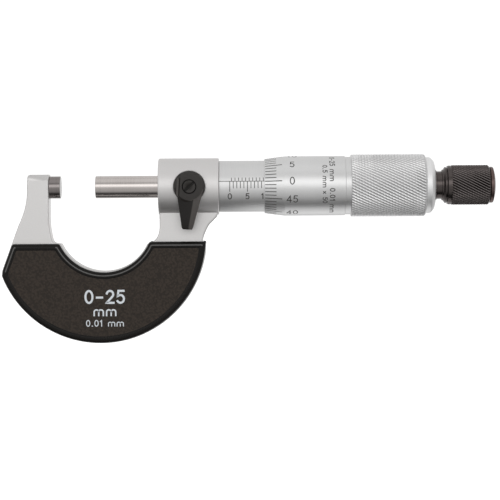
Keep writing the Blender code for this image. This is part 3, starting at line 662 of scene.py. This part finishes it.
def on_round(radius_at, x0, angle0, turned_text=False):
    """A surface about X: u runs along X and v upwards round it. Turned text runs down, its top at +X."""
    def place(u, v, lift):
        along, around = (v, -u) if turned_text else (u, v)
        x = x0 + along
        r = radius_at(x) + lift
        a = angle0 + around / radius_at(x)
        return Vector((x, -r * math.cos(a), r * math.sin(a))) * MM
    return place


def thimble_radius(x):
    return EDGE_R + (THIMBLE_R - EDGE_R) * min((x - EDGE) / (BEVEL_END - EDGE), 1.0)


def sleeve_radius(_x):
    return SLEEVE_R


def make_sleeve_scale(look):
    """The datum line, with a tick for each millimetre under it and one for each half above it."""
    bm = bmesh.new()
    origin = on_round(sleeve_radius, SCALE_ZERO, DATUM)
    ribbon(bm, [(SLEEVE_START - SCALE_ZERO + 0.12, 0), (SCALE_LENGTH + 0.3, 0)], DATUM_STROKE, origin)
    for mm in range(SCALE_LENGTH + 1):
        length = TICK_LONG if mm % 5 == 0 else TICK_SHORT
        ribbon(bm, [(mm, 0), (mm, -length)], TICK_STROKE, origin)
        if mm < SCALE_LENGTH:
            ribbon(bm, [(mm + 0.5, 0), (mm + 0.5, TICK_HALF)], HALF_STROKE, origin)
        if mm % 5 == 0:
            at = on_round(sleeve_radius, SCALE_ZERO + mm, DATUM - SLEEVE_NUMBER_DROP / SLEEVE_R)
            lettering(bm, str(mm), SLEEVE_NUMBER, NUMBER_STROKE, at)
    new_piece("sleeve_scale", bm, [look["ink"]], "scale_sleeve")


def make_thimble_scale(look):
    bm = bmesh.new()
    for k in range(DIVISIONS):
        angle = THIMBLE_DATUM + 2 * math.pi * k / DIVISIONS
        at = on_round(thimble_radius, EDGE, angle)
        if k % 5 == 0:
            ribbon(bm, [(DIVISION_START, 0), (DIVISION_LONG, 0)], LONG_STROKE, at)
            beside = on_round(thimble_radius, EDGE + THIMBLE_NUMBER_AT, angle)
            lettering(bm, str(k), THIMBLE_NUMBER, NUMBER_STROKE, beside)
        else:
            ribbon(bm, [(DIVISION_START, 0), (DIVISION_SHORT, 0)], SHORT_STROKE, at)
    for text, height, stroke, x in (("0-25 mm  0.01 mm", 1.45, 0.24, 77.9), ("0.5 mm x 50", 1.3, 0.22, 75.8)):
        lettering(bm, text, height, stroke, on_round(thimble_radius, x, math.radians(4), True))
    new_piece("thimble_scale", bm, [look["ink"]], "spindle_and_thimble")


def make_cover_print(look):
    bm = bmesh.new()
    field = PLATE_HALF + COVER_T - COVER_RECESS

    def on_field(z0):
        return lambda u, v, lift: Vector((PRINT_X + u, -field - lift * 4, z0 + v)) * MM

    lettering(bm, "0-25", 3.7, 0.6, on_field(-31.2))
    lettering(bm, "mm", 2.6, 0.42, on_field(-35.3))
    lettering(bm, "0.01 mm", 1.8, 0.26, on_field(-38.7))
    new_piece("cover_print", bm, [look["print"]], "frame")


# ---------------------------------------------------------------- turned pieces

def make_measuring_line(look):
    joint = ANVIL_FACE - 1.0
    # The anvil's pieces take the darker copy of the ground steel, a painted shade.
    turned("anvil_body", fillets([
        (-7.4, 0), (-7.4, 2.0), (ARM_INNER + 0.02, 2.0), (ARM_INNER + 0.02, FACE_R, 0.05),
        (joint - 0.02, FACE_R), (joint - 0.02, 0),
    ]), [look["anvil"]], "frame", ["anvil"], steps=128)
    tip = turned("anvil_face", fillets([
        (joint, 0), (joint, FACE_R), (ANVIL_FACE, FACE_R, 0.16), (ANVIL_FACE, 0),
    ], 4), [look["anvil"], look["face"]], "frame", ["anvil_tip"], steps=128)
    paint(tip, ANVIL_FACE - 0.02, ANVIL_FACE + 0.02, 1)
    joint = SPINDLE_FACE + 1.5
    turned("spindle_face", fillets([
        (SPINDLE_FACE, 0), (SPINDLE_FACE, FACE_R, 0.18), (joint, FACE_R), (joint, 0),
    ], 4), [look["ground"]], "spindle_carrier", ["spindle_tip"], steps=128)
    thread = []
    x = 57.2
    while x < 94.3:
        thread += [(x, 3.1), (x + 0.1, 3.1), (x + 0.25, 2.82), (x + 0.4, 3.1)]
        x += 0.5
    turned("spindle_body", [
        (joint + 0.02, 0), (joint + 0.02, FACE_R), (56.5, FACE_R), (56.5, 2.8), (57.1, 2.8), *thread,
        (94.6, 2.8), (95.2, 2.8), (95.2, 3.9), (102.6, 3.2), (102.6, 2.6), (106.0, 2.6), (106.0, 1.55),
        (98.0, 1.55), (98.0, 0),
    ], [look["ground"]], "spindle_and_thimble", ["spindle"], steps=96)


def make_sleeve_and_thimble(look):
    turned("sleeve_body", fillets([
        (SLEEVE_START, 6.0), (SLEEVE_START, SLEEVE_R, 0.12), (SLEEVE_END, SLEEVE_R, 0.3), (SLEEVE_END, 6.0),
    ], 4), [look["satin"]], "scale_sleeve", ["graduated_sleeve"])
    grip = knurl(GROOVE_END + 0.2, GRIP_END - 0.5, GRIP_R, depth=0.42, starts=64, period=1.68,
                 second=0.4, chamfer=0.1)
    body = fillets([
        (95.0, THIMBLE_BORE), (EDGE, THIMBLE_BORE), (EDGE, EDGE_R, 0.04), (BEVEL_END, THIMBLE_R, 4.0),
        (GROOVE_START, THIMBLE_R, 0.18), (GROOVE_START + 0.12, GROOVE_R), (GROOVE_END, GROOVE_R),
    ], 4)
    hub = [(GRIP_END, 6.0), (103.1, 6.0), (103.1, 3.25), (102.6, 3.25), (95.2, 3.95), (95.0, 3.95)]
    rim = [(GRIP_END - 0.42, GRIP_R - 0.28), (GRIP_END - 0.36, GRIP_R - 0.14), (GRIP_END, GRIP_R - 0.5)]
    finishes = [look["grip"], look["knurl"], look["knurl_groove_painted_shade"]]
    thimble = turned("thimble_body", body + [(GROOVE_END + 0.12, GRIP_R - 0.32)] + grip + rim + hub,
                     finishes, "spindle_and_thimble", ["thimble"], steps=512, angle=60)
    # The knurl's tips get the lighter chrome, a painted highlight; the faces deep in its grooves get the
    # darker chrome, painted shade.
    floor, groove = GRIP_R - 0.64, GRIP_R - 0.21
    paint(thimble, GROOVE_END + 0.2, GRIP_END - 0.5, 1, floor)
    paint(thimble, GROOVE_END + 0.2, GRIP_END - 0.5, 2, floor, groove)
    turned("thimble_cap_body", fillets([
        (103.15, 2.65), (103.15, 5.95), (104.72, 5.95), (104.72, CAP_R), (106.15, CAP_R, 0.8),
        (107.13, 6.85, 1.0), (107.42, 5.7, 0.6), (CAP_END, 4.6), (CAP_END, 2.65),
    ], 6), [look["cap"]], "spindle_and_thimble", ["thimble_cap"])


def make_ratchet(look):
    turned("shank_body", fillets([
        (98.6, 0), (98.6, 1.5), (106.1, 1.5), (106.1, 2.6), (CAP_END + 0.02, 2.6),
        (CAP_END + 0.02, 4.25, 0.1), (108.0, 4.25, 0.15), (108.0, NECK_R), (111.3, NECK_R), (111.3, 1.6),
        (119.0, 1.6), (119.0, 0.8), (114.5, 0.8), (114.5, 0),
    ], 3), [look["knob"]], "spindle_and_thimble", ["ratchet_shank"], steps=128)
    grip = knurl(KNOB_GRIP_START, KNOB_GRIP_END + 0.2, KNOB_R, depth=0.42, starts=45, period=1.46,
                 second=0.25, chamfer=0.08)
    finishes = [look["knob"], look["knob_groove_painted_shade"], look["knob_worn_and_highlight"]]
    knob = turned("knob_body", fillets([
        (111.2, NECK_R + 0.06), (KNOB_START, NECK_R + 0.06), (KNOB_START, 4.4, 0.2), (109.8, 4.4, 0.15),
        (110.3, 5.15, 0.2), (110.6, 5.2, 0.12), (110.68, 4.95), (110.8, 4.95), (110.98, 5.45, 0.2),
        (111.6, 5.6, 0.5), (112.2, 5.5),
    ], 4) + grip + [
        (KNOB_GRIP_END + 0.3, KNOB_R - 0.15), (KNOB_END, KNOB_END_R - 0.1), (KNOB_END, 4.2), (119.0, 4.2),
        (119.0, 1.66), (117.5, 1.66), (117.5, 4.2), (111.2, 4.2),
    ], finishes, "knob", ["ratchet_knob"], steps=360, angle=60)
    # Faces deep in the knurl's grooves are painted darker, painted shade; the tips are painted lighter,
    # partly wear and partly a painted highlight.
    paint(knob, KNOB_GRIP_START, KNOB_GRIP_END + 0.2, 1, 5.0, KNOB_R - 0.24)
    paint(knob, KNOB_GRIP_START, KNOB_GRIP_END + 0.2, 2, KNOB_R - 0.1)
    turned("dome_body", fillets([
        (121.4, 0), (121.4, 4.15), (KNOB_END + 0.02, 4.15), (KNOB_END + 0.02, DOME_R, 0.12),
        (DOME_RIM, DOME_R, 0.35), (DOME_TOP, 3.4, 1.2), (DOME_TOP, 0),
    ], 6), [look["dome"]], "knob", ["ratchet_end_cap"], steps=128)


# ---------------------------------------------------------------- lock

# The lock's blacks after the plain one: a darker one painted on as shade, a lighter one painted on as
# highlight.
PAINTED_SHADE, PAINTED_HIGHLIGHT = 1, 2  # places in the lock's list of blacks, after the plain one


def turn_about_pivot(obj, angle):
    pivot = (LOCK_X - ANVIL_FACE) * MM
    for v in obj.data.vertices:
        x, z = v.co.x - pivot, v.co.z
        v.co.x = pivot + x * math.cos(angle) + z * math.sin(angle)
        v.co.z = -x * math.sin(angle) + z * math.cos(angle)


def make_lever(black):
    """A round hub with a roof-shaped arm; the wide facet left of its ridge is painted darker, a painted
    shade, the one on the right lighter, a painted highlight.
    """
    front, back = LEVER_FRONT_Y, LEVER_BACK_Y
    hub = turned("lever_body", fillets([
        (back, 0), (back, LEVER_R, 0.15), (front + 0.6, LEVER_R, 0.25), (front, LEVER_R - 0.5, 0.3),
        (front, 0),
    ], 4), black, axis="Y", at=(LOCK_X, 0, 0), steps=128)
    groove = [(-2.65, front - 0.5), (-2.65, front), (-2.95, front + 0.42), (-3.6, front + 0.36),
              (-3.75, front - 0.5)]
    change(hub, lofted("hub_groove", [[(LOCK_X + x, y, z) for x, y in groove] for z in (-6.0, 2.3)], black))
    sections = []
    for t in (0.0, 0.3, 0.5, 0.75, 0.95, 1.0):
        z = -0.8 - (LEVER_REACH - 0.8) * t
        fall = max(t - 0.3, 0.0) / 0.7
        taper, end = min(t / 0.95, 1.0), 0.3 if t == 1.0 else 0.0
        left, right = 3.62 - 2.07 * taper - end, 4.0 - 2.32 * taper - end
        ridge = 1.75 - 1.35 * taper
        peak, low_right = front + 0.01 + 0.77 * fall + end, front + 0.12 + 1.03 * fall
        low_left = front + 1.1 + 0.35 * t
        sections.append([(LOCK_X + x, y, z) for x, y in (
            (-left, ARM_BACK_Y), (-left, low_left + 0.12), (-left + 0.15, low_left), (ridge - 0.08, peak),
            (ridge + 0.08, peak), (right - 0.18, low_right), (right, low_right + 0.15), (right, ARM_BACK_Y),
        )])
    change(hub, lofted("lever_arm", sections, black), "UNION")
    change(hub, turned("pocket", [
        (front - 2, 0), (front - 2, 2.14), (front + 0.1, 2.05), (front + 1.4, 2.05), (front + 1.4, 0),
    ], black, axis="Y", at=(LOCK_X, 0, 0), steps=96))
    # The arm's right facet is painted lighter, a painted highlight; its left facet, the pocket and the hub's
    # groove are painted darker, painted shade.
    for face in hub.data.polygons:
        x, y, z = face.center.x / MM + ANVIL_FACE - LOCK_X, face.center.y / MM, face.center.z / MM
        facing = face.normal
        in_pocket = math.hypot(x, z) < 2.2 and y > front + 0.15
        in_groove = facing.x < -0.5 and -3.1 < x < -2.5 and z > -4
        on_arm = facing.y < -0.7 and abs(facing.x) > 0.03 and math.hypot(x, z) > 2.3 and z < -0.5
        if on_arm and facing.x >= 0 and not in_pocket:
            face.material_index = PAINTED_HIGHLIGHT
        elif in_pocket or on_arm or in_groove:
            face.material_index = PAINTED_SHADE
    turn_about_pivot(hub, LEVER_LEAN)
    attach(hub, "lock")
    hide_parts("lock_lever")


def make_lock_screw(black):
    """A slotted head in the lever's pocket."""
    head, end = LEVER_FRONT_Y + 0.3, LEVER_FRONT_Y + 1.35
    screw = turned("lock_screw_body", fillets([
        (head, 0), (head, 1.85, 0.15), (end, 1.85), (end, 0.75), (-5.6, 0.75), (-5.6, 0),
    ], 4), black, axis="Y", at=(LOCK_X, 0, 0), steps=96)
    way = Vector((math.cos(SCREW_SLOT_ANGLE), math.sin(SCREW_SLOT_ANGLE)))
    side = Vector((-way.y, way.x))
    corners = [Vector((LOCK_X, 0)) + way * a + side * b
               for a, b in ((-3, -0.31), (3, -0.31), (3, 0.31), (-3, 0.31))]
    change(screw, slab("slot", [(head - 0.5, corners), (head + 0.5, corners)], black))
    # In the slot the walls facing up are painted lighter, a painted highlight, and the rest painted darker,
    # painted shade.
    for face in screw.data.polygons:
        x, y, z = face.center.x / MM + ANVIL_FACE - LOCK_X, face.center.y / MM, face.center.z / MM
        if head + 0.1 < y < head + 0.6 and math.hypot(x, z) < 1.7:
            face.material_index = PAINTED_HIGHLIGHT if face.normal.z > 0.4 else PAINTED_SHADE
    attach(screw, "lock")
    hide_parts("lock_screw")


# ---------------------------------------------------------------- studio

# The studio's brightness at angles round X: 0 is the camera's side, 90 the top, 180 the back and -90 below
STUDIO = (
    (-180, 1.12), (-170, 1.08), (-166, 0.7), (-145, 0.6), (-130, 0.32), (-115, 0.06), (-97, 0.05),
    (-66, 0.08), (-56, 0.3), (-45, 0.5), (-12, 0.64), (-2, 0.8),
    (6, 1.35), (12, 1.65), (21, 1.65), (30, 1.0), (37, 0.52), (46, 0.58), (60, 0.7), (88, 0.71),
    (108, 0.79), (130, 0.8), (150, 0.76), (166, 0.74), (170, 1.08), (180, 1.12),
)
SIDE_LIGHT = 0.72  # and at both ends of X


def make_studio():
    """A light tent: a strip in front above the camera's height, soft light above and behind, dark below."""
    world = bpy.data.worlds.new("studio")
    bpy.context.scene.world = world
    world.use_nodes = True
    tree = world.node_tree
    way = add(tree, "ShaderNodeTexCoord").outputs["Generated"]
    x, y, z = add(tree, "ShaderNodeSeparateXYZ", {"Vector": way}).outputs
    front = add(tree, "ShaderNodeMath", {0: y, 1: -1.0}, operation="MULTIPLY").outputs[0]
    round_x = add(tree, "ShaderNodeMath", {0: z, 1: front}, operation="ARCTAN2").outputs[0]
    share = add(tree, "ShaderNodeMath", {0: round_x, 1: 1 / (2 * math.pi), 2: 0.5}, operation="MULTIPLY_ADD")
    ramp = add(tree, "ShaderNodeValToRGB", {"Fac": share.outputs[0]})
    elements = ramp.color_ramp.elements
    for k, (angle, level) in enumerate(STUDIO):
        place = 0.5 + angle / 360
        element = elements[k] if k < 2 else elements.new(place)
        element.position = place
        element.color = (level / 2,) * 3 + (1.0,)
    level = add(tree, "ShaderNodeMath", {0: ramp.outputs["Color"], 1: 2.0}, operation="MULTIPLY").outputs[0]
    sideways = add(tree, "ShaderNodeMath", {0: x}, operation="ABSOLUTE").outputs[0]
    blend = add(tree, "ShaderNodeMapRange", {
        "Value": sideways, "From Min": 0.7, "From Max": 0.96, "To Min": 0.0, "To Max": 1.0,
    }, interpolation_type="SMOOTHSTEP").outputs["Result"]
    strength = add(tree, "ShaderNodeMix", {"Factor": blend, "A": level, "B": SIDE_LIGHT}, data_type="FLOAT")
    sky = tree.nodes["Background"]
    sky.inputs["Color"].default_value = (1.0, 0.998, 0.995, 1.0)
    tree.links.new(strength.outputs["Result"], sky.inputs["Strength"])

    bm = bmesh.new()
    bmesh.ops.create_grid(bm, x_segments=1, y_segments=1, size=6.0)
    floor = new_piece("floor", bm, [])
    floor.location = (0.05, 0, -0.115)
    material, tree, principled = shader("pale_floor")
    place = add(tree, "ShaderNodeTexCoord").outputs["Object"]
    y = add(tree, "ShaderNodeSeparateXYZ", {"Vector": place}).outputs["Y"]
    # The floor's colour is a little darker towards the front; towards the back the floor glows though it is
    # no lamp, a painted light.
    shade = add(tree, "ShaderNodeMapRange", {
        "Value": y, "From Min": -0.15, "From Max": 0.12, "To Min": 0.8, "To Max": 0.85,
    }, interpolation_type="SMOOTHSTEP").outputs["Result"]
    glow = add(tree, "ShaderNodeMapRange", {
        "Value": y, "From Min": 0.0, "From Max": 0.13, "To Min": 0.0, "To Max": 0.6,
    }, interpolation_type="SMOOTHSTEP").outputs["Result"]
    tree.links.new(shade, principled.inputs["Base Color"])
    principled.inputs["Roughness"].default_value = 0.9
    principled.inputs["Specular IOR Level"].default_value = 0.0
    principled.inputs["Emission Color"].default_value = (1, 1, 1, 1)
    tree.links.new(glow, principled.inputs["Emission Strength"])
    floor.data.materials.append(material)
    floor.visible_glossy = False

    def softbox(name, where, target, size, level):
        """level is the box's own brightness."""
        data = bpy.data.lights.new(name, "AREA")
        data.shape, data.size, data.size_y = "RECTANGLE", size[0], size[1]
        data.energy = level * math.pi * size[0] * size[1]
        light = bpy.data.objects.new(name, data)
        light.location = where
        light.rotation_euler = (Vector(target) - Vector(where)).to_track_quat("-Z", "Y").to_euler()
        light.visible_camera = False
        bpy.context.scene.collection.objects.link(light)

    softbox("top", (0.05, -0.3, 0.8), (0.05, 0, 0), (0.9, 0.7), 0.15)
    softbox("under_thimble", (0.097, 0.04, -0.1), (0.097, 0.0, 0.0), (0.106, 0.1), 0.78)


def make_camera():
    data = bpy.data.cameras.new("camera")
    data.lens, data.sensor_width = 130.6, 36.0
    camera = bpy.data.objects.new("camera", data)
    camera.location = (0.0526, -0.520, 0.0)
    look_at = Vector((0.05405, 0.0, -0.01828)) - camera.location
    camera.rotation_euler = look_at.to_track_quat("-Z", "Y").to_euler()
    camera.rotation_euler.rotate_axis("Z", math.radians(-0.365))
    bpy.context.scene.collection.objects.link(camera)
    bpy.context.scene.camera = camera


def make_inner(look):
    """The pieces inside keep their CAD shape and get a finish."""
    finishes = {
        "spindle_nut": "inner", "take_up_nut": "inner", "lock_stud": "inner", "lock_washer": "inner",
        "lock_shoe": "brass", "ratchet_disc": "inner", "ratchet_spring": "inner", "ratchet_washer": "inner",
        "ratchet_screw": "inner",
    }
    for node, finish in finishes.items():
        data = frame["nodes"][node].data
        data.materials.clear()
        data.materials.append(look[finish])


for leftover in list(bpy.data.objects):
    bpy.data.objects.remove(leftover, do_unlink=True)
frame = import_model()
bpy.context.scene.view_settings.view_transform = "Standard"
looks = make_materials()
make_frame(looks)
make_covers(looks)
make_measuring_line(looks)
make_sleeve_and_thimble(looks)
make_sleeve_scale(looks)
make_thimble_scale(looks)
make_cover_print(looks)
blacks = [looks["lever"], looks["lever_painted_shade"], looks["lever_painted_highlight"]]
make_lever(blacks)
make_lock_screw(blacks)
make_ratchet(looks)
make_inner(looks)
make_studio()
make_camera()
